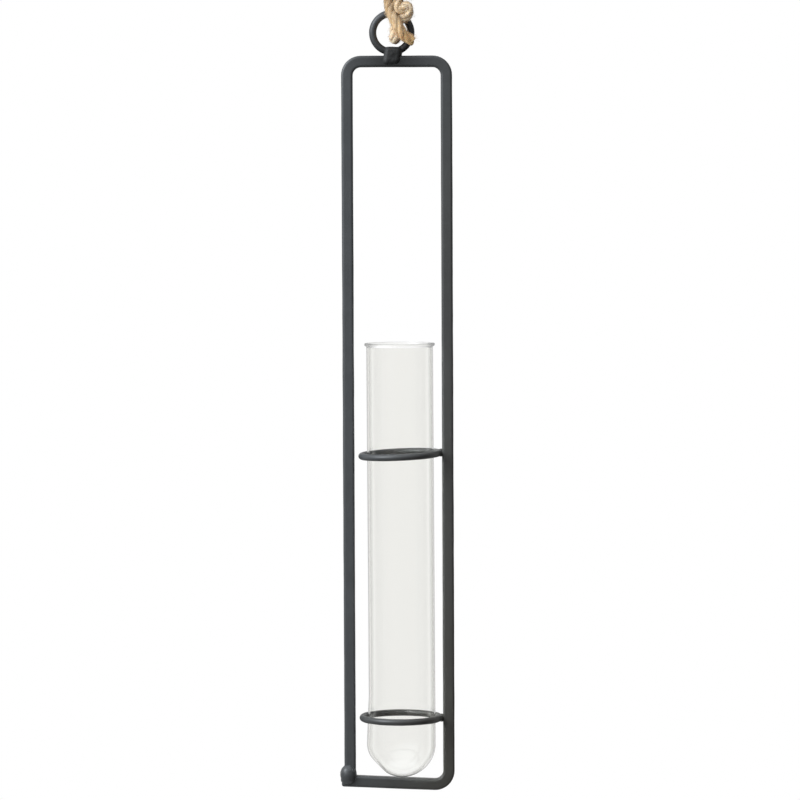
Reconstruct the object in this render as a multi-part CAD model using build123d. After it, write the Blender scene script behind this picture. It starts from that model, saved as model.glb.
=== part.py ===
from build123d import *
import math
import os

# Hanging wall vase: a glass test tube stands in two wire rings inside a tall frame of bent square bar,
# and the frame hangs by a wire ring from a hitched rope loop. Millimetres, +Z up, +X to the viewer's
# right, +Y towards the wall. The origin is where a nail or hook carries the rope loop.

# Square bar of the frame
bar_side = 5.2  # 5 mm stock, over its paint
bar_edge_radius = 0.9
frame_height = 334.6  # over the right upright
bend_inside_radius = 3.7
bottom_rise = 2.0  # the bottom bar climbs this much from the right upright to the left one
bottom_overhang = 1.2  # its free end stands this far past the left upright
foot_gap = 0.4  # between the left upright's foot and the bottom bar, filled with weld

# Hanging ring
hanging_ring_bore = 14.0
hanging_ring_wire = 3.3
hanging_ring_shift = -2.1  # from the frame's middle, to the left

# Holder rings
holder_wire = 3.0
upper_holder_depth = 51.7  # from the tube's rim down to the ring's middle
lower_holder_height = 27.0  # from the tube's round bottom up to the ring's middle
upper_holder_tilt = 2.5  # degrees, low on the left
lower_holder_tilt = 0.0

# Glass tube
tube_diameter = 30.5
tube_length = 198.5
tube_wall = 1.1
rim_proud = 0.95  # the beaded rim stands this far out from the wall
rim_height = 2.6

# Welds
weld_gap = 0.1  # weld metal between a ring and the bar
lug_top_width = 7.0
lug_foot_width = 8.6
lug_foot_shift = -0.3  # the foot's middle from the ring's middle
lug_rise = 3.9  # above the top bar
lug_lap = 4.2  # down the top bar's front
lug_top_front = 0.6  # proud of the bar's front face, at the top
lug_foot_front = 1.6  # the same, at the foot
lug_back = 0.3  # short of the bar's back face
lug_round = 1.5
corner_lump_radius = 3.6
corner_lump_height = 9.6
corner_lump_lift = 0.3  # its lowest point, above the bottom bar's underside
corner_lump_left = 1.9  # proud of the left upright
corner_lump_front = 2.0  # proud of the bar's front face
holder_lump_radius = 2.0
holder_lump_height = 4.4
holder_lump_inset = 0.6  # centre of the lump from the upright's face

# Clearances
tube_play = 0.75  # between the tube and the holder rings, all round
holder_side_gap = 1.75  # between the holder rings' free side and the left upright
tube_seat_gap = 0.15  # under the tube's round bottom

# Rope
rope_diameter = 4.8
loop_drop = 95.0  # from the nail down to the hanging ring's centre
bight_drop = 8.0  # from the nail down to where the legs leave the bight
fillet_share = 0.45  # share of the shorter run that a bend of the rope takes up

# Sizes and places worked out from these
tube_radius = tube_diameter / 2
rim_radius = tube_radius + rim_proud
holder_mid_radius = tube_radius + tube_play + holder_wire / 2
holder_outer_radius = holder_mid_radius + holder_wire / 2

bar_half = bar_side / 2
frame_width = 2 * bar_side + weld_gap + 2 * holder_outer_radius + holder_side_gap  # over both uprights
upright_x = frame_width / 2 - bar_half
ring_mid_radius = (hanging_ring_bore + hanging_ring_wire) / 2
ring_outer_radius = hanging_ring_bore / 2 + hanging_ring_wire
ring_centre = Vector(hanging_ring_shift, 0, -loop_drop)
frame_top = ring_centre.Z - ring_outer_radius - weld_gap
top_bar_z = frame_top - bar_half
bottom_bar_z = frame_top - frame_height + bar_half  # bar's middle, at the right upright
bottom_slope = math.atan2(bottom_rise, 2 * upright_x)

holder_face_x = upright_x - bar_half  # inner face of the right upright
holder_x = holder_face_x - weld_gap - holder_outer_radius


def bottom_bar_mid(x):
    return bottom_bar_z + (upright_x - x) * math.tan(bottom_slope)


def bottom_bar_top(x):
    return bottom_bar_mid(x) + bar_half / math.cos(bottom_slope)


# The round bottom stands on the sloping bar
tube_bottom = bottom_bar_top(holder_x) + tube_radius * (1 / math.cos(bottom_slope) - 1) + tube_seat_gap
tube_top = tube_bottom + tube_length
upper_holder_z = tube_top - upper_holder_depth
lower_holder_z = tube_bottom + lower_holder_height

# Rope route, by hand. The tail leg and the hitch leg are measured from the hanging ring's centre, the
# bight from the nail. The tail leg starts at its cut end, in front of the ring, and climbs. The hitch
# leg comes down, lies over the ring's front, turns up behind it through the hole, and goes round both legs.
tail_route = [
    (9.5, -5.0, -3.7),
    (6.3, -5.9, -2.8),
    (3.6, -8.7, 0.9),
    (1.5, -8.9, 4.9),
    (-0.9, -5.4, 9.6),
    (-1.3, -4.0, 16.6),
    (-1.5, -3.7, 27.0),
]
bight_route = [
    (-5.6, -0.4, -20.0),
    (-6.4, 0.2, 2.6),
    (6.4, -0.2, 2.4),
    (5.4, -0.6, -20.0),
]
hitch_route = [
    (4.2, -3.7, 27.0),
    (3.9, -3.9, 17.0),
    (7.5, -5.0, 12.7),
    (7.5, -5.7, 7.2),
    (3.6, -3.5, 4.0),
    (2.1, -1.6, 0.6),
    (1.8, -0.2, -3.1),
    (2.0, 6.8, -3.0),
    (2.8, 6.9, 4.0),
    (3.0, 5.4, 11.2),
    (1.4, 2.2, 16.2),
    (-4.4, 2.2, 19.4),
    (-7.5, -4.0, 19.6),
    (-4.8, -9.9, 19.9),
    (7.0, -9.9, 20.8),
    (10.0, -4.0, 21.6),
    (7.4, 2.1, 22.6),
    (1.0, 2.2, 23.6),
]


def make_frame_bar():
    bend_radius = bend_inside_radius + bar_half
    foot_z = bottom_bar_top(-upright_x) + foot_gap
    free_end_x = -frame_width / 2 - bottom_overhang
    path = FilletPolyline(
        (-upright_x, 0, foot_z),
        (-upright_x, 0, top_bar_z),
        (upright_x, 0, top_bar_z),
        (upright_x, 0, bottom_bar_z),
        (free_end_x, 0, bottom_bar_mid(free_end_x)),
        radius=bend_radius,
    )
    start = Plane(origin=path @ 0, x_dir=(0, 1, 0), z_dir=path % 0)
    section = start * RectangleRounded(bar_side, bar_side, bar_edge_radius)
    return sweep(section, path=path)


def make_hanging_ring():
    ring = Torus(ring_mid_radius, hanging_ring_wire / 2)
    return Pos(ring_centre) * Rot(90, 0, 0) * ring


def holder_weld_z(middle_z, tilt):
    # A tilted ring's middle lies below its welded side
    return middle_z + holder_outer_radius * math.sin(math.radians(tilt))


def make_holder_ring(middle_z, tilt):
    # The ring turns about its welded side
    ring = Pos(-holder_outer_radius, 0, 0) * Torus(holder_mid_radius, holder_wire / 2)
    return Pos(holder_face_x - weld_gap, 0, holder_weld_z(middle_z, tilt)) * Rot(0, -tilt, 0) * ring


def make_lump(radius, height):
    # An egg of weld metal, standing upright
    half = Plane.XZ * make_face(
        [
            EllipticalCenterArc((0, 0), radius, height / 2, start_angle=-90, arc_size=180),
            Line((0, height / 2), (0, -height / 2)),
        ]
    )
    return revolve(half, axis=Axis.Z)


def make_corner_weld(bar):
    x = -frame_width / 2 - corner_lump_left + corner_lump_radius
    y = -bar_half - corner_lump_front + corner_lump_radius
    z = bottom_bar_mid(-upright_x) - bar_half + corner_lump_lift + corner_lump_height / 2
    return Pos(x, y, z) * make_lump(corner_lump_radius, corner_lump_height) - bar


def make_hanging_ring_weld(bar, ring):
    # A lump that spreads towards its foot
    back = bar_half - lug_back
    foot_depth = back + bar_half + lug_foot_front
    top_depth = back + bar_half + lug_top_front
    foot_place = Pos(ring_centre.X + lug_foot_shift, back - foot_depth / 2, frame_top - lug_lap)
    top_place = Pos(ring_centre.X, back - top_depth / 2, frame_top + lug_rise)
    foot = foot_place * Rectangle(lug_foot_width, foot_depth)
    top = top_place * Rectangle(lug_top_width, top_depth)
    lump = loft([foot, top])
    return fillet(lump.edges(), lug_round) - bar - ring


def make_holder_weld(middle_z, tilt, bar, ring):
    place = Pos(holder_face_x - holder_lump_inset, 0, holder_weld_z(middle_z, tilt))
    return place * make_lump(holder_lump_radius, holder_lump_height) - bar - ring


def make_glass_tube():
    inner = tube_radius - tube_wall
    bead_radius = rim_height / 2
    bead_x = rim_radius - bead_radius
    bead_z = tube_length - bead_radius
    shoulder = bead_z - math.sqrt(bead_radius**2 - (tube_radius - bead_x) ** 2)  # bead meets the wall
    mouth_round = bead_x - inner
    wall = make_face(
        [
            CenterArc((0, tube_radius), tube_radius, -90, 90),
            Line((tube_radius, tube_radius), (tube_radius, shoulder)),
            ThreePointArc((tube_radius, shoulder), (rim_radius, bead_z), (bead_x, tube_length)),
            CenterArc((bead_x, tube_length - mouth_round), mouth_round, 90, 90),
            Line((inner, tube_length - mouth_round), (inner, tube_radius)),
            CenterArc((0, tube_radius), inner, -90, 90),
            Line((0, tube_wall), (0, 0)),
        ]
    )
    return Pos(holder_x, 0, tube_bottom) * revolve(Plane.XZ * wall, axis=Axis.Z)


def bend_radii(points):
    # Each bend is as round as its shorter run allows
    radii = []
    for before, corner, after in zip(points, points[1:], points[2:]):
        run_in = corner - before
        run_out = after - corner
        half_turn = math.radians(run_in.get_angle(run_out)) / 2
        radii.append(fillet_share * min(run_in.length, run_out.length) / math.tan(half_turn))
    return radii


def make_rope(name, points):
    radii = bend_radii(points)
    path = FilletPolyline(*points, radius=radii)
    section = Plane(origin=path @ 0, z_dir=path % 0) * Circle(rope_diameter / 2)
    rope = sweep(section, path=path)
    expected = math.pi * rope_diameter**2 / 4 * path.length
    print(name, "bend radii", [round(radius, 1) for radius in radii])
    print(name, "length", round(path.length, 1), "volume share", round(rope.volume / expected, 4))
    return rope


def point_at_height(start, end, z):
    return start + (end - start) * ((z - start.Z) / (end.Z - start.Z))


def make_ropes():
    tail = [ring_centre + Vector(*point) for point in tail_route]
    bight = [Vector(*point) for point in bight_route]
    hitch = [ring_centre + Vector(*point) for point in hitch_route]
    # Each leg meets the bight on a straight run, a little below the nail
    left_joint = point_at_height(bight[0], bight[1], -bight_drop)
    right_joint = point_at_height(bight[3], bight[2], -bight_drop)
    return {
        "rope_tail_leg": make_rope("rope_tail_leg", [*tail, bight[0], left_joint]),
        "rope_bight": make_rope("rope_bight", [left_joint, bight[1], bight[2], right_joint]),
        "rope_hitch_leg": make_rope("rope_hitch_leg", [right_joint, bight[3], *hitch]),
    }


def make_parts():
    bar = make_frame_bar()
    hanging_ring = make_hanging_ring()
    upper_ring = make_holder_ring(upper_holder_z, upper_holder_tilt)
    lower_ring = make_holder_ring(lower_holder_z, lower_holder_tilt)
    return {
        "frame_bar": bar,
        "corner_weld": make_corner_weld(bar),
        "hanging_ring": hanging_ring,
        "hanging_ring_weld": make_hanging_ring_weld(bar, hanging_ring),
        "upper_holder_ring": upper_ring,
        "upper_holder_weld": make_holder_weld(upper_holder_z, upper_holder_tilt, bar, upper_ring),
        "lower_holder_ring": lower_ring,
        "lower_holder_weld": make_holder_weld(lower_holder_z, lower_holder_tilt, bar, lower_ring),
        "glass_tube": make_glass_tube(),
        **make_ropes(),
    }


os.makedirs("parts", exist_ok=True)
for node, shape in make_parts().items():
    export_step(shape, f"parts/{node}.step")
print("frame top", round(frame_top, 2), "tube axis", round(holder_x, 2))
print("tube from", round(tube_bottom, 2), "to", round(tube_top, 2))
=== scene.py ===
import math
import random

import bmesh
import bpy
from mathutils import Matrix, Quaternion, Vector


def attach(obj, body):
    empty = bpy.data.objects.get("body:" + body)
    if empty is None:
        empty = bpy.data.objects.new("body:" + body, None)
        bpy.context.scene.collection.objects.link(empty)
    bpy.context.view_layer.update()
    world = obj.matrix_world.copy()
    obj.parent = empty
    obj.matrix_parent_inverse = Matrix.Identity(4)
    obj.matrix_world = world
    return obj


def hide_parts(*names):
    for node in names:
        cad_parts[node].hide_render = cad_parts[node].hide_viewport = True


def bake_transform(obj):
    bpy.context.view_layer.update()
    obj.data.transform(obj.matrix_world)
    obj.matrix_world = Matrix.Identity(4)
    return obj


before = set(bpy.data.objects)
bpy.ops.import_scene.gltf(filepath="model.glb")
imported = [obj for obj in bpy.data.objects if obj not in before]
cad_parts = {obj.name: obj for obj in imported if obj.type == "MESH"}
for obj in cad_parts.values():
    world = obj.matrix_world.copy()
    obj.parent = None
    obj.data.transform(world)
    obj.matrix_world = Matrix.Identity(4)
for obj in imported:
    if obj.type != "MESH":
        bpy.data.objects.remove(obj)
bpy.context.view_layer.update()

mm = 0.001  # the scene is in metres, the settings are in millimetres and degrees
bpy.context.scene.view_settings.view_transform = "Standard"
print("frame loaded:", len(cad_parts), "nodes")


def linearColour(hexText):
    channels = [int(hexText[start:start + 2], 16) / 255 for start in (1, 3, 5)]
    linear = [c / 12.92 if c <= 0.04045 else ((c + 0.055) / 1.055) ** 2.4 for c in channels]
    return (*linear, 1.0)


def addNode(tree, kind, inputs=None, **settings):
    node = tree.nodes.new(kind)
    for name, value in settings.items():
        setattr(node, name, value)
    for name, value in (inputs or {}).items():
        if isinstance(value, bpy.types.NodeSocket):
            tree.links.new(value, node.inputs[name])
        else:
            node.inputs[name].default_value = value
    return node


def newMaterial(name):
    material = bpy.data.materials.new(name)
    material.use_nodes = True
    material.node_tree.nodes.clear()
    return material, material.node_tree


def setRamp(node, stops):
    ramp = node.color_ramp
    while len(ramp.elements) < len(stops):
        ramp.elements.new(0.5)
    for element, (position, colour) in zip(ramp.elements, stops):
        element.position = position
        element.color = linearColour(colour)


def perMm(size):
    return 1 / (size * mm)  # pattern scale on Object coordinates, from the pattern's size


# Camera: a long lens a little above the vase, level with its upper third
cameraSettings = {
    "aim": (0.9, 0, -261.5),
    "distance": 2000.0,
    "elevation": 2.9,
    "roll": -0.25,
    "lens": 198.0,
}


def addCamera(settings):
    up = math.radians(settings["elevation"])
    aim = Vector(settings["aim"]) * mm
    back = Vector((0, -math.cos(up), math.sin(up)))
    lens = bpy.data.cameras.new("camera")
    lens.lens = settings["lens"]
    camera = bpy.data.objects.new("camera", lens)
    camera.location = aim + back * settings["distance"] * mm
    roll = Quaternion((0, 0, 1), math.radians(settings["roll"]))
    camera.rotation_euler = ((-back).to_track_quat("-Z", "Y") @ roll).to_euler()
    bpy.context.collection.objects.link(camera)
    bpy.context.scene.camera = camera


addCamera(cameraSettings)
print("camera set")


# Light: a white backdrop, a room that is bright and cool overhead and dim and warm below, and
# one soft lamp high on the left
lightSettings = {
    "towards": (-0.25, -0.45, 0.86),  # the room's bright side
    "bright": 1.08,
    "dim": 0.04,
    "brightTint": "#F3F8FF",
    "dimTint": "#FFE9D2",
    "tintFull": 0.4,  # how far towards the bright side its tint is full
    "glossStart": 0.35,  # gloss sees only the part of the room that is overhead
    "glossBoost": 1.6,
    # How much of the backdrop gloss sees, from the vase's sides to behind it, and less there so
    # that glass has edges
    "glossBackdrop": [(0.1, "#000000"), (0.45, "#EBEBEB"), (0.62, "#EBEBEB"), (0.85, "#D5D5D5")],
    "lampPlace": (-985.0, -685.0, 395.0),
    "lampSize": 800.0,
    "lampWatts": 22.0,
    "lampColour": "#F4F9FF",
}


def addRoom(settings):
    world = bpy.data.worlds.new("softRoom")
    world.use_nodes = True
    tree = world.node_tree
    tree.nodes.clear()
    direction = addNode(tree, "ShaderNodeTexCoord").outputs["Generated"]
    path = addNode(tree, "ShaderNodeLightPath").outputs
    brightSide = Vector(settings["towards"]).normalized()
    facing = addNode(
        tree, "ShaderNodeVectorMath", {0: direction, 1: brightSide}, operation="DOT_PRODUCT"
    )
    start = addNode(
        tree,
        "ShaderNodeMath",
        {0: path["Is Glossy Ray"], 1: settings["glossStart"]},
        operation="MULTIPLY",
    )
    share = addNode(
        tree,
        "ShaderNodeMapRange",
        {"Value": facing.outputs["Value"], "From Min": start.outputs[0]},
    )
    bright = settings["bright"]
    top = addNode(
        tree,
        "ShaderNodeMapRange",
        {
            "Value": path["Is Glossy Ray"],
            "To Min": bright,
            "To Max": bright * settings["glossBoost"],
        },
    )
    level = addNode(
        tree,
        "ShaderNodeMapRange",
        {"Value": share.outputs[0], "To Min": settings["dim"], "To Max": top.outputs[0]},
    )
    tint = addNode(tree, "ShaderNodeValToRGB", {"Fac": share.outputs[0]})
    setRamp(tint, [(0.0, settings["dimTint"]), (settings["tintFull"], settings["brightTint"])])
    room = addNode(
        tree, "ShaderNodeBackground", {"Color": tint.outputs[0], "Strength": level.outputs[0]}
    )
    # The camera sees the white backdrop all round, also straight through glass, and gloss sees
    # it behind
    white = addNode(tree, "ShaderNodeBackground", {"Color": (1, 1, 1, 1), "Strength": 1.0})
    behind = addNode(tree, "ShaderNodeSeparateXYZ", {0: direction})
    reach = addNode(tree, "ShaderNodeValToRGB", {"Fac": behind.outputs["Y"]})
    setRamp(reach, settings["glossBackdrop"])
    # Glossy Depth counts the reflections on the way
    straight = addNode(
        tree, "ShaderNodeMath", {0: path["Glossy Depth"], 1: 1}, operation="LESS_THAN"
    )
    seen = path["Is Camera Ray"]
    for ray, part in (("Is Glossy Ray", reach), ("Is Transmission Ray", straight)):
        shown = addNode(
            tree, "ShaderNodeMath", {0: path[ray], 1: part.outputs[0]}, operation="MULTIPLY"
        )
        seen = addNode(
            tree, "ShaderNodeMath", {0: seen, 1: shown.outputs[0]}, operation="MAXIMUM"
        ).outputs[0]
    mixed = addNode(
        tree, "ShaderNodeMixShader", {0: seen, 1: room.outputs[0], 2: white.outputs[0]}
    )
    addNode(tree, "ShaderNodeOutputWorld", {"Surface": mixed.outputs[0]})
    bpy.context.scene.world = world


def addLamp(settings):
    light = bpy.data.lights.new("softLamp", "AREA")
    light.size = settings["lampSize"] * mm
    light.energy = settings["lampWatts"]
    light.color = linearColour(settings["lampColour"])[:3]
    lamp = bpy.data.objects.new("softLamp", light)
    lamp.location = Vector(settings["lampPlace"]) * mm
    towardsVase = Vector(cameraSettings["aim"]) * mm - lamp.location
    lamp.rotation_euler = towardsVase.to_track_quat("-Z", "Y").to_euler()
    lamp.visible_camera = False
    lamp.visible_transmission = False
    bpy.context.collection.objects.link(lamp)


addRoom(lightSettings)
addLamp(lightSettings)
print("light set")


# Rope: four strands laid round one line
ropeSettings = {
    "diameter": 5.0,
    "length": 292.0,
    "seed": 7,
    # The route: the cut end and the left leg from the ring's centre, the bight from the
    # nail, and the right leg and the hitch from the ring's centre
    "ringCentre": (-2.1, 0, -95.0),
    "tailRoute": [
        (9.5, -5.0, -3.7),
        (6.3, -5.9, -2.8),
        (3.6, -8.7, 0.9),
        (1.5, -8.9, 4.9),
        (-0.9, -5.4, 9.6),
        (-1.3, -4.0, 16.6),
        (-1.5, -3.7, 27.0),
    ],
    "bightRoute": [
        (-5.6, -0.4, -20.0),
        (-6.4, 0.2, 2.6),
        (6.4, -0.2, 2.4),
        (5.4, -0.6, -20.0),
    ],
    "hitchRoute": [
        (3.4, -4.2, 19.5),
        (2.3, -6.2, 8.2),
        (7.6, -6.2, 12.9),
        (7.4, -5.8, 7.0),
        (3.0, -5.2, 6.0),
        (1.6, -3.4, 1.4),
        (1.3, -3.0, -2.9),
        (1.5, 6.0, -2.7),
        (2.4, 6.9, 4.0),
        (3.0, 5.4, 11.2),
        (1.4, 2.2, 16.2),
        (-4.4, 2.2, 19.4),
        (-7.5, -4.0, 19.6),
        (-4.8, -9.9, 19.9),
        (7.0, -9.9, 20.8),
        (10.0, -4.0, 21.6),
        (7.4, 2.1, 22.6),
        (1.0, 2.2, 23.6),
    ],
    "routeSteps": 48,
    "pointSpacing": 0.5,
    "strands": 4,
    "strandRadius": 1.36,
    "strandOffset": 1.12,
    "lay": 19.0,
    "sides": 14,
    "yarns": 7,
    "yarnDepth": 0.07,
    "yarnMiddle": 0.6,  # the height of a yarn that leaves the strand's radius as it is
    "yarnLay": 8.0,
    "unevenWaves": (2.1, 3.8, 5.5),  # rope for each radian of a slow wave in the thickness
    "unevenShare": 0.07,  # of a strand's radius
    "ragged": 0.04,  # of a strand's radius, at each point
    "strandApart": 40.0,  # on the pattern's map, so that no two strands look alike
    "fibres": 9000,
    "fibreLength": (0.7, 2.8),
    "fibreWidth": 0.11,
    "fibreTaper": 0.4,  # of its width
    "fibreSides": 3,
    "fibreJoints": 3,
    "fibreSpread": 1.7,  # radians round the strand, to each side of the rope's outside
    "fibreRoot": 0.96,  # of a strand's radius
    "fibreLift": (0.05, 0.7),  # how steeply a fibre leaves the strand
    "fibreStray": 0.5,  # and how far it may stray and curl
    "fibreTones": (200, 600),  # where fibres lie on the pattern's map
    "bareBelow": -98.7,  # no fibres so low, where the weld passes as the ring turns
}


def ropeLine(settings):
    centre = Vector(settings["ringCentre"])
    route = [centre + Vector(p) for p in settings["tailRoute"]]
    route += [Vector(p) for p in settings["bightRoute"]]
    route += [centre + Vector(p) for p in settings["hitchRoute"]]
    curve = bpy.data.curves.new("ropeRoute", "CURVE")
    curve.dimensions = "3D"
    spline = curve.splines.new("NURBS")
    spline.points.add(len(route) - 1)
    for point, place in zip(spline.points, route):
        point.co = (*(place * mm), 1)
    spline.order_u = 3
    spline.use_endpoint_u = True
    spline.resolution_u = settings["routeSteps"]
    holder = bpy.data.objects.new("ropeRoute", curve)
    line = bpy.data.meshes.new_from_object(holder)
    points = [v.co.copy() for v in line.vertices]
    bpy.data.objects.remove(holder)
    kept = [points[0]]
    for point in points[1:]:
        if (point - kept[-1]).length >= settings["pointSpacing"] * mm:
            kept.append(point)
    return kept


def lineFrames(points):
    frames = []
    normal = Vector((0, 0, 1))
    for i, point in enumerate(points):
        tangent = (points[min(i + 1, len(points) - 1)] - points[max(i - 1, 0)]).normalized()
        normal = (normal - tangent * normal.dot(tangent)).normalized()
        frames.append((normal, tangent.cross(normal)))
    return frames


def runLengths(points):
    lengths = [0.0]
    for before, after in zip(points, points[1:]):
        lengths.append(lengths[-1] + (after - before).length / mm)
    return lengths


def strandSections(settings, points, strand):
    # The strand's centre, its outward, across and along directions, and its radius at each point
    waves = settings["unevenWaves"]
    phases = [random.uniform(0, 2 * math.pi) for wave in waves]
    centres = []
    for point, (normal, other), length in zip(points, lineFrames(points), runLengths(points)):
        turn = 2 * math.pi * (strand / settings["strands"] + length / settings["lay"])
        out = normal * math.cos(turn) + other * math.sin(turn)
        centres.append((point + out * settings["strandOffset"] * mm, out, length))
    sections = []
    for i, (centre, out, length) in enumerate(centres):
        before, after = centres[max(i - 1, 0)][0], centres[min(i + 1, len(centres) - 1)][0]
        along = (after - before).normalized()
        out = (out - along * out.dot(along)).normalized()
        swings = [math.sin(length / wave + phase) for wave, phase in zip(waves, phases)]
        uneven = sum(swings) / len(waves)
        radius = settings["strandRadius"] * (1 + settings["unevenShare"] * uneven) * mm
        sections.append((centre, out, along.cross(out), along, radius, length))
    return sections


def addStrand(settings, sections, strand, shape):
    sides = settings["sides"]
    ragged = settings["ragged"]
    first = len(shape["vertices"])
    for centre, out, across, along, radius, length in sections:
        yarnTurn = 2 * math.pi * length / settings["yarnLay"]
        for side in range(sides):
            angle = 2 * math.pi * side / sides
            yarn = abs(math.cos(settings["yarns"] / 2 * angle + yarnTurn))
            reach = radius * (1 + settings["yarnDepth"] * (yarn - settings["yarnMiddle"]))
            reach *= 1 + random.uniform(-ragged, ragged)
            outward = out * math.cos(angle) + across * math.sin(angle)
            shape["vertices"].append(centre + outward * reach)
            mapY = settings["strandApart"] * strand + settings["strandRadius"] * angle
            shape["uvs"].append((length, mapY))
    addSkin(shape, first, len(sections), sides)
    shape["faces"].append(tuple(reversed(range(first, first + sides))))


def addSkin(shape, first, rows, sides):
    # Faces between rows of points, and over the last row
    for row in range(first, first + (rows - 1) * sides, sides):
        for side in range(sides):
            after = (side + 1) % sides
            shape["faces"].append(
                (row + side, row + after, row + sides + after, row + sides + side)
            )
    last = first + (rows - 1) * sides
    shape["faces"].append(tuple(range(last, last + sides)))


def addFibre(settings, sections, shape):
    # A thin three-sided hair that leaves the strand and tapers
    centre, out, across, along, radius, length = random.choice(sections)
    spread = settings["fibreSpread"]
    stray = settings["fibreStray"]
    angle = random.uniform(-spread, spread)
    outward = out * math.cos(angle) + across * math.sin(angle)
    sideways = across * math.cos(angle) - out * math.sin(angle)
    lift = random.uniform(*settings["fibreLift"])
    heading = along * random.choice((-1, 1)) + outward * lift
    heading += sideways * random.uniform(-stray, stray)
    curl = sideways * random.uniform(-stray, stray) - outward * random.uniform(0.0, stray)
    sides = settings["fibreSides"]
    joints = settings["fibreJoints"]
    step = random.uniform(*settings["fibreLength"]) * mm / (joints - 1)
    tone = random.uniform(*settings["fibreTones"])
    place = centre + outward * radius * settings["fibreRoot"]
    if place.z < settings["bareBelow"] * mm:
        return
    first = len(shape["vertices"])
    for joint in range(joints):
        width = settings["fibreWidth"] * mm * (0.5 - settings["fibreTaper"] * joint / joints)
        for side in range(sides):
            turn = 2 * math.pi * side / sides
            corner = outward * math.cos(turn) + sideways * math.sin(turn)
            shape["vertices"].append(place + corner * width)
            shape["uvs"].append((length, tone))
        heading = (heading + curl * joint / joints).normalized()
        place = place + heading * step
    addSkin(shape, first, joints, sides)


def makeRope(settings):
    random.seed(settings["seed"])
    points = ropeLine(settings)
    shape = {"vertices": [], "faces": [], "uvs": []}
    everySection = []
    for strand in range(settings["strands"]):
        sections = strandSections(settings, points, strand)
        addStrand(settings, sections, strand, shape)
        everySection += sections
    for fibre in range(settings["fibres"]):
        addFibre(settings, everySection, shape)
    mesh = bpy.data.meshes.new("rope")
    mesh.from_pydata([tuple(v) for v in shape["vertices"]], [], shape["faces"])
    layer = mesh.uv_layers.new(name="strandMap")
    for loop in mesh.loops:
        layer.data[loop.index].uv = shape["uvs"][loop.vertex_index]
    mesh.polygons.foreach_set("use_smooth", [True] * len(mesh.polygons))
    rope = bpy.data.objects.new("rope", mesh)
    bpy.context.collection.objects.link(rope)
    print("rope made, length", round(runLengths(points)[-1], 1))
    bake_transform(rope)
    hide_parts("rope_tail_leg", "rope_bight", "rope_hitch_leg")
    return rope


rope = makeRope(ropeSettings)


# Small helpers for modelling by hand
handSettings = {
    "mergeDistance": 0.002,
    "smoothBelow": 45.0,  # an edge that turns more stays sharp
}


def startPiece(name):
    # The primitive just added, with its place in its mesh, in edit mode
    piece = bpy.context.object
    piece.name = name
    piece.data.name = name
    bpy.ops.object.transform_apply(location=True, rotation=True, scale=True)
    bpy.ops.object.mode_set(mode="EDIT")
    bpy.ops.mesh.select_mode(type="VERT")
    return piece


def pick(piece, kind, test):
    bpy.ops.mesh.select_mode(type=kind)
    bpy.ops.mesh.select_all(action="DESELECT")
    shape = bmesh.from_edit_mesh(piece.data)
    for part in {"EDGE": shape.edges, "FACE": shape.faces}[kind]:
        if test(part):
            part.select_set(True)
    shape.select_flush_mode()
    bmesh.update_edit_mesh(piece.data)


def extrudeBy(x, y, z):
    bpy.ops.mesh.extrude_region_move(
        TRANSFORM_OT_translate={"value": (x * mm, y * mm, z * mm)}
    )


def closeShape():
    bpy.ops.mesh.select_all(action="SELECT")
    bpy.ops.mesh.remove_doubles(threshold=handSettings["mergeDistance"] * mm)
    bpy.ops.mesh.normals_make_consistent(inside=False)
    bpy.ops.object.mode_set(mode="OBJECT")


def addUneven(piece, size, depth):
    texture = bpy.data.textures.new(piece.name + "Uneven", "CLOUDS")
    texture.noise_scale = size * mm
    modifier = piece.modifiers.new("uneven", "DISPLACE")
    modifier.texture = texture
    modifier.texture_coords = "LOCAL"
    modifier.strength = depth * mm
    modifier.mid_level = 0.5


def applyModifiers(piece):
    bpy.context.view_layer.objects.active = piece
    for modifier in list(piece.modifiers):
        bpy.ops.object.modifier_apply(modifier=modifier.name)
    bpy.ops.object.select_all(action="DESELECT")
    piece.select_set(True)
    bpy.ops.object.shade_smooth_by_angle(angle=math.radians(handSettings["smoothBelow"]))


def joinPieces(pieces):
    bpy.ops.object.select_all(action="DESELECT")
    for piece in pieces:
        piece.select_set(True)
    bpy.context.view_layer.objects.active = pieces[0]
    bpy.ops.object.join()
    return pieces[0]


def standFor(piece, node, body):
    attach(piece, body)
    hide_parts(node)


# Frame: one square bar, bent at three corners, its edges rounded by forging and paint
barSettings = {
    "side": 5.2,
    "cells": 4,
    "edgeRadius": 0.95,
    "edgeSteps": 3,
    "edgeAngle": 50.0,  # the bar's edges turn more than this
    "bendRadius": 6.3,
    "bendSteps": 10,
    "uprightX": 22.525,
    "footZ": -432.4,
    "topZ": -108.0,
    "bottomZ": -437.4,  # at the right upright
    "bottomRise": 2.0,
    "freeEndX": -26.325,
    "stepLength": 3.2,
    "mostSteps": 99,
    "runTolerance": 0.02,
    "dentSize": 16.0,
    "dentDepth": 0.2,
}


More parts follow.
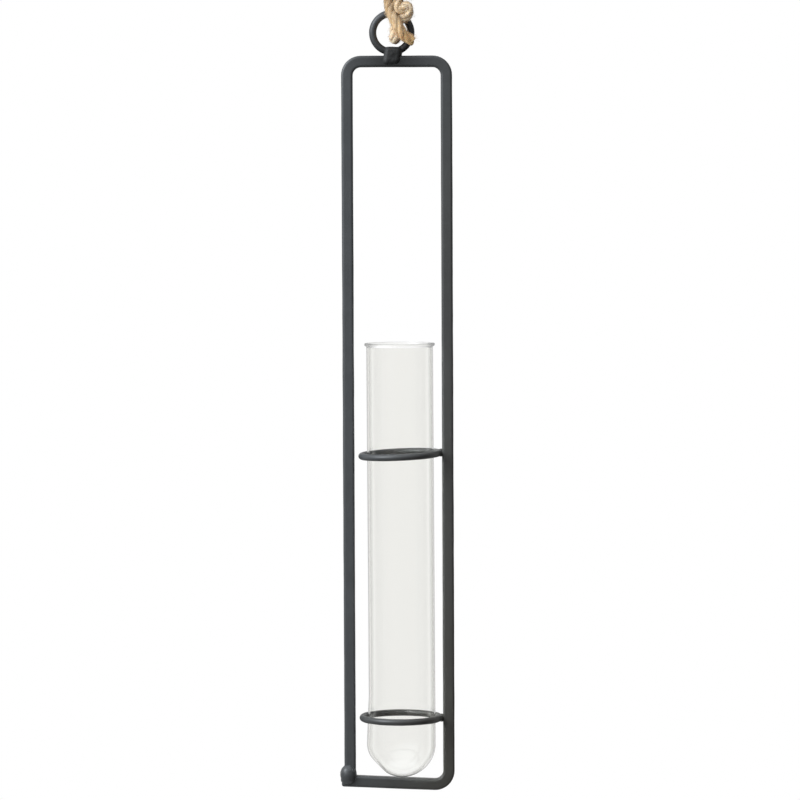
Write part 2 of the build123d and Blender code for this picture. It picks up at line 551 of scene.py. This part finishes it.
def makeForgedFrame(settings):
    x = settings["uprightX"]
    bend = settings["bendRadius"]
    slope = math.atan2(settings["bottomRise"], 2 * x)
    upperZ = settings["topZ"] - bend
    lowerZ = settings["bottomZ"] + bend * (1 + math.sin(slope)) / math.cos(slope)
    left, right = (bend - x) * mm, (x - bend) * mm
    corner = -math.pi / 2
    turns = {"steps": settings["bendSteps"], "axis": (0, 1, 0)}
    bpy.ops.object.select_all(action="DESELECT")
    bpy.ops.mesh.primitive_grid_add(
        x_subdivisions=settings["cells"],
        y_subdivisions=settings["cells"],
        size=settings["side"] * mm,
        location=(-x * mm, 0, settings["footZ"] * mm),
    )
    piece = startPiece("forgedFrame")
    extrudeBy(0, 0, upperZ - settings["footZ"])
    bpy.ops.mesh.spin(angle=corner, center=(left, 0, upperZ * mm), **turns)
    extrudeBy(2 * (x - bend), 0, 0)
    bpy.ops.mesh.spin(angle=corner, center=(right, 0, upperZ * mm), **turns)
    extrudeBy(0, 0, lowerZ - upperZ)
    bpy.ops.mesh.spin(angle=corner - slope, center=(right, 0, lowerZ * mm), **turns)
    reach = (x - bend - bend * math.sin(slope) - settings["freeEndX"]) / math.cos(slope)
    extrudeBy(-reach * math.cos(slope), 0, reach * math.sin(slope))
    # Rungs along the straight runs, so that they can be uneven
    tolerance = settings["runTolerance"] * mm
    for run in (upperZ - settings["footZ"], 2 * (x - bend), upperZ - lowerZ, reach):
        pick(piece, "EDGE", lambda edge: abs(edge.calc_length() - run * mm) < tolerance)
        steps = int(run / settings["stepLength"])
        bpy.ops.mesh.subdivide(number_cuts=min(settings["mostSteps"], steps))
    closeShape()
    rounding = piece.modifiers.new("rounding", "BEVEL")
    rounding.limit_method = "ANGLE"
    rounding.angle_limit = math.radians(settings["edgeAngle"])
    rounding.width = settings["edgeRadius"] * mm
    rounding.segments = settings["edgeSteps"]
    addUneven(piece, settings["dentSize"], settings["dentDepth"])
    applyModifiers(piece)
    standFor(piece, "frame_bar", "frame")
    return piece


# Rings: round wire, bent and closed
ringSettings = {
    "sides": 20,
    "steps": 144,
    "unevenSize": 5.0,
    "unevenDepth": 0.1,
    "rings": {
        "hangingRing": {
            "node": "hanging_ring",
            "wire": 3.3,
            "radius": 8.65,
            "centre": (-2.1, 0, -95.0),
            "turn": (90, 0, 0),
        },
        "upperHolderRing": {
            "node": "upper_holder_ring",
            "wire": 3.0,
            "radius": 17.5,
            "centre": (0.843, 0, -286.3),
            "turn": (1.0, -2.3, 0),
        },
        "lowerHolderRing": {
            "node": "lower_holder_ring",
            "wire": 3.0,
            "radius": 17.5,
            "centre": (0.825, 0, -406.5),
            "turn": (0.5, 0, 0),
        },
    },
}


def makeWireRing(name, ring, settings):
    bpy.ops.object.select_all(action="DESELECT")
    bpy.ops.mesh.primitive_circle_add(
        vertices=settings["sides"],
        radius=ring["wire"] / 2 * mm,
        location=(ring["radius"] * mm, 0, 0),
        rotation=(math.pi / 2, 0, 0),
    )
    piece = startPiece(name)
    bpy.ops.mesh.spin(
        steps=settings["steps"], angle=2 * math.pi, center=(0, 0, 0), axis=(0, 0, 1)
    )
    closeShape()
    piece.rotation_euler = [math.radians(angle) for angle in ring["turn"]]
    piece.location = Vector(ring["centre"]) * mm
    bpy.ops.object.transform_apply(location=True, rotation=True, scale=True)
    addUneven(piece, settings["unevenSize"], settings["unevenDepth"])
    applyModifiers(piece)
    standFor(piece, ring["node"], "frame")
    return piece


# Welds: lumps of metal under the paint, each lump with its place and its radii
lumpSettings = {
    "ballDetail": 4,
    "grain": 0.3,
    "smoothing": 6,
    "unevenSize": 2.2,
    "unevenDepth": 0.35,
    "welds": {
        "cornerWeld": {
            "node": "corner_weld",
            "lumps": [
                ((-23.3, -1.4, -432.3), (3.8, 3.7, 4.7)),
                ((-23.7, -1.1, -434.7), (3.2, 3.2, 2.4)),
            ],
        },
        "upperHolderWeld": {
            "node": "upper_holder_weld",
            "lumps": [((19.33, 0, -285.5), (1.9, 1.9, 1.9))],
        },
        "lowerHolderWeld": {
            "node": "lower_holder_weld",
            "lumps": [((19.33, 0, -406.67), (1.9, 1.9, 1.9))],
        },
    },
}


def roundOff(piece, settings, smoothing):
    remesh = piece.modifiers.new("grain", "REMESH")
    remesh.mode = "VOXEL"
    remesh.voxel_size = settings["grain"] * mm
    smooth = piece.modifiers.new("smooth", "SMOOTH")
    smooth.iterations = smoothing
    addUneven(piece, settings["unevenSize"], settings["unevenDepth"])
    applyModifiers(piece)


def addBalls(name, lumps, settings):
    balls = []
    for place, radii in lumps:
        bpy.ops.object.select_all(action="DESELECT")
        bpy.ops.mesh.primitive_ico_sphere_add(
            subdivisions=settings["ballDetail"],
            radius=1,
            location=[value * mm for value in place],
            scale=[value * mm for value in radii],
        )
        balls.append(startPiece(name))
        bpy.ops.object.mode_set(mode="OBJECT")
    return balls


def makeWeldLump(name, weld, settings):
    piece = joinPieces(addBalls(name, weld["lumps"], settings))
    roundOff(piece, settings, settings["smoothing"])
    standFor(piece, weld["node"], "frame")
    return piece


# The hanging ring's weld: a block that leans to the right, its front turned a little down and
# to the right
lugSettings = {
    "centre": (-2.4, -0.95, -105.5),
    "size": (8.4, 6.4, 8.2),
    "topShare": 0.95,
    "lean": (1.3, 0.4, 0),
    "rightBack": 0.7,  # the front's right edge stands back
    # What is taken off the front's edges: the side, how much and in how many steps
    "cuts": [
        ((-1, 0, 0), 1.3, 1),
        ((0, 0, 1), 1.3, 1),
        ((1, 0, 0), 2.1, 3),
        ((0, 0, -1), 2.1, 3),
    ],
    "spread": [((1.7, -0.1, -102.9), (1.9, 1.6, 1.2))],  # along the ring, on the right
    "smoothing": 14,
}


def makeLug(settings, lumps):
    centre = Vector(settings["centre"]) * mm
    size = Vector(settings["size"]) * mm

    def inFront(edge, side):
        return all(
            v.co.y < centre.y and (v.co - centre).dot(Vector(side)) > 0 for v in edge.verts
        )

    bpy.ops.object.select_all(action="DESELECT")
    bpy.ops.mesh.primitive_cube_add(size=1, location=centre, scale=size)
    piece = startPiece("hangingRingWeld")
    pick(piece, "FACE", lambda face: face.normal.z > 0.9)  # its top
    bpy.ops.transform.resize(
        value=(settings["topShare"], settings["topShare"], 1),
        center_override=centre + Vector((0, 0, size.z / 2)),
    )
    bpy.ops.transform.translate(value=Vector(settings["lean"]) * mm)
    pick(piece, "EDGE", lambda edge: inFront(edge, (1, 0, 0)))
    bpy.ops.transform.translate(value=(0, settings["rightBack"] * mm, 0))
    for side, cut, steps in settings["cuts"]:
        pick(piece, "EDGE", lambda edge: inFront(edge, side))
        bpy.ops.mesh.bevel(offset=cut * mm, segments=steps)
    closeShape()
    joinPieces([piece, *addBalls(piece.name, settings["spread"], lumps)])
    roundOff(piece, lumps, settings["smoothing"])
    standFor(piece, "hanging_ring_weld", "frame")
    return piece


# Glass tube: drawn tubing with a round blown bottom and a fire-polished bead at its mouth
tubeSettings = {
    "axisX": 0.825,
    "bottomZ": -433.67,
    "length": 198.1,
    "radius": 15.17,
    "lean": 0.16,  # it rests against the right of its rings
    "wall": 0.4,  # thin, so that its edge line falls where it should
    "bottomWall": 0.25,  # and thinner, or the bar below shows in it as a dark crescent
    "beadRadius": 0.7,
    "beadProud": 0.9,
    "beadFillet": 0.6,
    "steps": 128,
    "bottomSteps": 22,
    "beadSteps": 14,
    "wallSteps": 8,
    # Close to each end of the wall a point keeps the shading of the round part off it
    "wallEnds": (0.001, 0.005),
    # The blown bottom is uneven on its left, as the height, the reach and how far it stands out
    "swells": [(15.0, 13.0, 1.0), (4.6, 6.5, -1.4)],
}


def arcPoints(centreX, centreZ, radius, startAngle, endAngle, steps):
    points = []
    for step in range(steps + 1):
        angle = math.radians(startAngle + (endAngle - startAngle) * step / steps)
        points.append((centreX + radius * math.cos(angle), centreZ + radius * math.sin(angle)))
    return points


def wallPoints(x, startZ, endZ, settings):
    steps = settings["wallSteps"]
    ends = settings["wallEnds"]
    shares = [*ends, *(step / steps for step in range(1, steps)), *(1 - end for end in ends[::-1])]
    return [(x, startZ + (endZ - startZ) * share) for share in shares]


def tubeProfile(settings):
    radius = settings["radius"]
    inner = radius - settings["wall"]
    bead = settings["beadRadius"]
    beadX = radius + settings["beadProud"] - bead
    beadZ = settings["length"] - bead
    fillet = settings["beadFillet"]
    filletX = radius + fillet
    filletZ = beadZ - math.sqrt((bead + fillet) ** 2 - (filletX - beadX) ** 2)
    meeting = math.degrees(math.atan2(beadZ - filletZ, beadX - filletX))
    lip = beadX - inner
    lipZ = settings["length"] - lip
    bottomSteps = settings["bottomSteps"]
    beadSteps = settings["beadSteps"]
    squash = (radius - settings["bottomWall"]) / inner
    outside = arcPoints(0, radius, radius, -90, 0, bottomSteps)
    outerWall = wallPoints(radius, radius, filletZ, settings)
    hollow = arcPoints(filletX, filletZ, fillet, 180, meeting, beadSteps // 2)
    outerBead = arcPoints(beadX, beadZ, bead, meeting - 180, 90, beadSteps)
    innerLip = arcPoints(beadX, lipZ, lip, 90, 180, beadSteps // 2)
    innerWall = wallPoints(inner, lipZ, radius, settings)
    inside = arcPoints(0, radius, inner, 0, -90, bottomSteps)
    inside = [(x, radius + (z - radius) * squash) for x, z in inside]
    return outside + outerWall + hollow + outerBead[1:] + innerLip[1:] + innerWall + inside


def swellTube(piece, settings):
    radius = settings["radius"]
    for height, reach, out in settings["swells"]:
        side = math.sqrt(radius ** 2 - max(0, radius - height) ** 2)
        middle = Vector((settings["axisX"] - side, 0, settings["bottomZ"] + height)) * mm
        group = piece.vertex_groups.new(name="swollen")
        for vertex in piece.data.vertices:
            share = max(0, 1 - (vertex.co - middle).length / (reach * mm))
            group.add([vertex.index], share * share * (3 - 2 * share), "REPLACE")
        modifier = piece.modifiers.new("swell", "DISPLACE")
        modifier.vertex_group = group.name
        modifier.direction = "X"
        modifier.mid_level = 0
        modifier.strength = -out * mm
    applyModifiers(piece)
    piece.vertex_groups.clear()


def makeGlassTube(settings):
    axisX = settings["axisX"]
    points = [(axisX + x, settings["bottomZ"] + z) for x, z in tubeProfile(settings)]
    startX, startZ = points[0]
    bpy.ops.object.select_all(action="DESELECT")
    bpy.ops.mesh.primitive_plane_add(size=mm, location=(startX * mm, 0, startZ * mm))
    piece = startPiece("glassTube")
    bpy.ops.mesh.merge(type="CENTER")
    for (x, z), (nextX, nextZ) in zip(points, points[1:]):
        extrudeBy(nextX - x, 0, nextZ - z)
    bpy.ops.mesh.select_all(action="SELECT")
    bpy.ops.mesh.spin(
        steps=settings["steps"],
        angle=2 * math.pi,
        center=(axisX * mm, 0, 0),
        axis=(0, 0, 1),
    )
    bpy.ops.mesh.select_all(action="SELECT")
    bpy.ops.transform.rotate(
        value=math.radians(settings["lean"]),
        orient_axis="Y",
        center_override=(axisX * mm, 0, (settings["bottomZ"] + settings["length"]) * mm),
    )
    closeShape()
    swellTube(piece, settings)
    piece.data.polygons.foreach_set("use_smooth", [True] * len(piece.data.polygons))
    piece.visible_shadow = False  # clear glass lets the light through to the frame
    standFor(piece, "glass_tube", "tube")
    return piece


forgedFrame = makeForgedFrame(barSettings)
print("frame bent:", len(forgedFrame.data.polygons), "faces")
ironPieces = [forgedFrame, makeLug(lugSettings, lumpSettings)]
for ringName, ring in ringSettings["rings"].items():
    ironPieces.append(makeWireRing(ringName, ring, ringSettings))
print("rings closed")
for weldName, weld in lumpSettings["welds"].items():
    ironPieces.append(makeWeldLump(weldName, weld, lumpSettings))
print("welds laid")
glassTube = makeGlassTube(tubeSettings)
print("tube blown:", len(glassTube.data.polygons), "faces")


# Laid jute: dull, straw-coloured plant fibre, with paler and browner fibres along each strand
juteSettings = {
    # For each mm along and across a strand. Single fibres are too fine to show, so these are
    # bundles of them
    "fibresPerMm": (0.8, 2.2, 1),
    "patchesPerMm": (0.12, 0.25, 1),
    "mixRange": (0.65, 1.35),  # both patterns together, from the brownest to the palest
    "colours": [(0.05, "#9F7B46"), (0.5, "#DEBF94"), (0.95, "#F6E6CE")],
    # Where its colour differs, partly as painted light and painted shade: the place along the
    # rope, the reach of the patch's middle and of its edge, its strength and its colour
    "patches": [
        (0, 4, 15, 1.0, "#FFCE8F"),  # golden at the cut end, and lighter there as painted light against the rope's shadow above
        (23, 5, 13, 0.65, "#B08D5F"),  # browner where it goes up beside the hitch: painted shade against the lamp's stronger light there
        (218, 6, 20, 0.6, "#FFE4C0"),  # pale where it bears on the ring: painted light that lifts the shadow of the rope in front of it
    ],
    "reliefStrength": 0.6,
    "relief": 0.25,
    "roughness": 0.85,
    "glow": 0.35,  # light that goes in among the fibres and comes out again
    "glowReach": (1.6, 1.2, 0.8),
    "sheen": 0.6,
    "sheenRoughness": 0.5,
    "sheenTint": "#FFEBCF",
}


def juteMaterial(settings):
    material, tree = newMaterial("juteFibre")
    uv = addNode(tree, "ShaderNodeUVMap", uv_map="strandMap").outputs[0]
    fibreSpace = addNode(
        tree, "ShaderNodeMapping", {"Vector": uv, "Scale": settings["fibresPerMm"]}
    )
    fibres = addNode(
        tree,
        "ShaderNodeTexNoise",
        {"Vector": fibreSpace.outputs[0], "Scale": 1.0, "Detail": 3.0},
    )
    patchSpace = addNode(
        tree, "ShaderNodeMapping", {"Vector": uv, "Scale": settings["patchesPerMm"]}
    )
    patches = addNode(
        tree,
        "ShaderNodeTexNoise",
        {"Vector": patchSpace.outputs[0], "Scale": 1.0, "Detail": 1.0},
    )
    blend = addNode(
        tree, "ShaderNodeMath", {0: fibres.outputs[0], 1: patches.outputs[0]}, operation="ADD"
    )
    least, most = settings["mixRange"]
    share = addNode(
        tree,
        "ShaderNodeMapRange",
        {"Value": blend.outputs[0], "From Min": least, "From Max": most},
    )
    colours = addNode(tree, "ShaderNodeValToRGB", {"Fac": share.outputs[0]})
    setRamp(colours, settings["colours"])
    along = addNode(tree, "ShaderNodeSeparateXYZ", {0: uv}).outputs["X"]
    tinted = colours.outputs[0]
    # Tints along the rope, some of them painted light and painted shade
    for place, middle, edge, strength, colour in settings["patches"]:
        away = addNode(tree, "ShaderNodeMath", {0: along, 1: place}, operation="SUBTRACT")
        distance = addNode(tree, "ShaderNodeMath", {0: away.outputs[0]}, operation="ABSOLUTE")
        share = addNode(
            tree,
            "ShaderNodeMapRange",
            {
                "Value": distance.outputs[0],
                "From Min": middle,
                "From Max": edge,
                "To Min": strength,
                "To Max": 0.0,
            },
        )
        tinted = addNode(
            tree,
            "ShaderNodeMix",
            {"Factor": share.outputs[0], "A": tinted, "B": linearColour(colour)},
            data_type="RGBA",
        ).outputs["Result"]
    bump = addNode(
        tree,
        "ShaderNodeBump",
        {
            "Height": fibres.outputs[0],
            "Strength": settings["reliefStrength"],
            "Distance": settings["relief"] * mm,
        },
    )
    shader = addNode(
        tree,
        "ShaderNodeBsdfPrincipled",
        {
            "Base Color": tinted,
            "Roughness": settings["roughness"],
            "Normal": bump.outputs[0],
            "Subsurface Weight": settings["glow"],
            "Subsurface Radius": [reach * mm for reach in settings["glowReach"]],
            "Subsurface Scale": 1.0,
            "Sheen Weight": settings["sheen"],
            "Sheen Roughness": settings["sheenRoughness"],
            "Sheen Tint": linearColour(settings["sheenTint"]),
        },
    )
    addNode(tree, "ShaderNodeOutputMaterial", {"Surface": shader.outputs[0]})
    return material


# Black paint on forged iron bar: satin, a little uneven from the hammer and the brush
ironSettings = {
    "patchSize": 9.0,
    "paint": [(0.3, "#424445"), (0.7, "#484A4B")],
    # Darker and browner towards the lower right
    "brown": "#3C3A34",
    "brownTowards": (12.0, 0, -1.6),
    "brownRange": (0.28, 0.95),
    "brownMost": 0.9,
    # Painted shade round the hanging ring's weld, on the bar and the ring; more matt there too
    "paintedShade": "#121211",
    "paintedShadeCentre": (-1.0, 0, -107.0),
    "paintedShadeReach": (2, 23),
    "paintedShadeMatt": 0.25,
    "grainSize": 0.7,  # coarser than real, so that it shows
    "grainRange": (0.3, 0.7),
    "roughness": (0.38, 0.5),
    "reliefStrength": 0.3,
    "relief": 0.08,
}


def ironMaterial(settings):
    material, tree = newMaterial("blackPaintedIron")
    place = addNode(tree, "ShaderNodeTexCoord").outputs["Object"]
    patches = addNode(
        tree,
        "ShaderNodeTexNoise",
        {"Vector": place, "Scale": perMm(settings["patchSize"]), "Detail": 2.0},
    )
    colours = addNode(tree, "ShaderNodeValToRGB", {"Fac": patches.outputs[0]})
    setRamp(colours, settings["paint"])
    lowRight = addNode(
        tree,
        "ShaderNodeVectorMath",
        {0: place, 1: settings["brownTowards"]},
        operation="DOT_PRODUCT",
    )
    start, end = settings["brownRange"]
    brown = addNode(
        tree,
        "ShaderNodeMapRange",
        {
            "Value": lowRight.outputs["Value"],
            "From Min": start,
            "From Max": end,
            "To Max": settings["brownMost"],
        },
    )
    # Painted shade: full near the hanging ring's weld, gone at the edge of its reach
    away = addNode(
        tree,
        "ShaderNodeVectorMath",
        {0: place, 1: Vector(settings["paintedShadeCentre"]) * mm},
        operation="DISTANCE",
    )
    middle, edge = settings["paintedShadeReach"]
    paintedShade = addNode(
        tree,
        "ShaderNodeMapRange",
        {
            "Value": away.outputs["Value"],
            "From Min": middle * mm,
            "From Max": edge * mm,
            "To Min": 1.0,
            "To Max": 0.0,
        },
    )
    paint = colours.outputs[0]
    # First the browner lower right, then the painted shade round the weld
    for share, colour in ((brown, settings["brown"]), (paintedShade, settings["paintedShade"])):
        paint = addNode(
            tree,
            "ShaderNodeMix",
            {"Factor": share.outputs[0], "A": paint, "B": linearColour(colour)},
            data_type="RGBA",
        ).outputs["Result"]
    grain = addNode(
        tree,
        "ShaderNodeTexNoise",
        {"Vector": place, "Scale": perMm(settings["grainSize"]), "Detail": 2.0},
    )
    least, most = settings["grainRange"]
    smoothest, roughest = settings["roughness"]
    gloss = addNode(
        tree,
        "ShaderNodeMapRange",
        {
            "Value": grain.outputs[0],
            "From Min": least,
            "From Max": most,
            "To Min": smoothest,
            "To Max": roughest,
        },
    )
    matt = addNode(
        tree,
        "ShaderNodeMath",
        {0: paintedShade.outputs[0], 1: settings["paintedShadeMatt"], 2: gloss.outputs[0]},
        operation="MULTIPLY_ADD",
    )
    bump = addNode(
        tree,
        "ShaderNodeBump",
        {
            "Height": grain.outputs[0],
            "Strength": settings["reliefStrength"],
            "Distance": settings["relief"] * mm,
        },
    )
    shader = addNode(
        tree,
        "ShaderNodeBsdfPrincipled",
        {"Base Color": paint, "Roughness": matt.outputs[0], "Normal": bump.outputs[0]},
    )
    addNode(tree, "ShaderNodeOutputMaterial", {"Surface": shader.outputs[0]})
    return material


# Drawn borosilicate tubing: clear, faintly warm, fire-polished
glassSettings = {
    "tint": "#FDFDFB",
    "ior": 1.47,
    "rimHeight": 2.0,
    "rimFade": 0.6,
    "rimRoughness": 0.3,  # softens lines that are finer than can be drawn
}


def glassMaterial(settings):
    material, tree = newMaterial("clearGlass")
    place = addNode(tree, "ShaderNodeTexCoord").outputs["Object"]
    height = addNode(tree, "ShaderNodeSeparateXYZ", {0: place}).outputs["Z"]
    rimZ = tubeSettings["bottomZ"] + tubeSettings["length"] - settings["rimHeight"]
    rim = addNode(
        tree,
        "ShaderNodeMapRange",
        {
            "Value": height,
            "From Min": rimZ * mm,
            "From Max": (rimZ + settings["rimFade"]) * mm,
            "To Max": settings["rimRoughness"],
        },
    )
    shader = addNode(
        tree,
        "ShaderNodeBsdfPrincipled",
        {
            "Base Color": linearColour(settings["tint"]),
            "Roughness": rim.outputs[0],
            "IOR": settings["ior"],
            "Transmission Weight": 1.0,
        },
    )
    addNode(tree, "ShaderNodeOutputMaterial", {"Surface": shader.outputs[0]})
    return material


iron = ironMaterial(ironSettings)
for piece in ironPieces:
    piece.data.materials.clear()
    piece.data.materials.append(iron)
rope.data.materials.append(juteMaterial(juteSettings))
glassTube.data.materials.append(glassMaterial(glassSettings))
print("materials set")


# Floor: pale, as far below as for a vase that hangs at eye level, fading into the white background
floorSettings = {
    "z": -1500.0,
    "size": 2400.0,
    "fade": (500.0, 1100.0),
    "colour": "#E4E4E2",
}


def addFloor(settings):
    bpy.ops.object.select_all(action="DESELECT")
    bpy.ops.mesh.primitive_plane_add(
        size=settings["size"] * mm, location=(0, 0, settings["z"] * mm)
    )
    floor = bpy.context.object
    floor.name = "floor"
    material, tree = newMaterial("paleFloor")
    place = addNode(tree, "ShaderNodeTexCoord").outputs["Object"]
    far = addNode(tree, "ShaderNodeVectorMath", {0: place}, operation="LENGTH")
    nearEdge, farEdge = settings["fade"]
    fade = addNode(
        tree,
        "ShaderNodeMapRange",
        {"Value": far.outputs["Value"], "From Min": nearEdge * mm, "From Max": farEdge * mm},
        interpolation_type="SMOOTHSTEP",
    )
    diffuse = addNode(tree, "ShaderNodeBsdfDiffuse", {"Color": linearColour(settings["colour"])})
    clear = addNode(tree, "ShaderNodeBsdfTransparent")
    mixed = addNode(
        tree,
        "ShaderNodeMixShader",
        {0: fade.outputs[0], 1: diffuse.outputs[0], 2: clear.outputs[0]},
    )
    addNode(tree, "ShaderNodeOutputMaterial", {"Surface": mixed.outputs[0]})
    floor.data.materials.append(material)


addFloor(floorSettings)
print("floor laid")
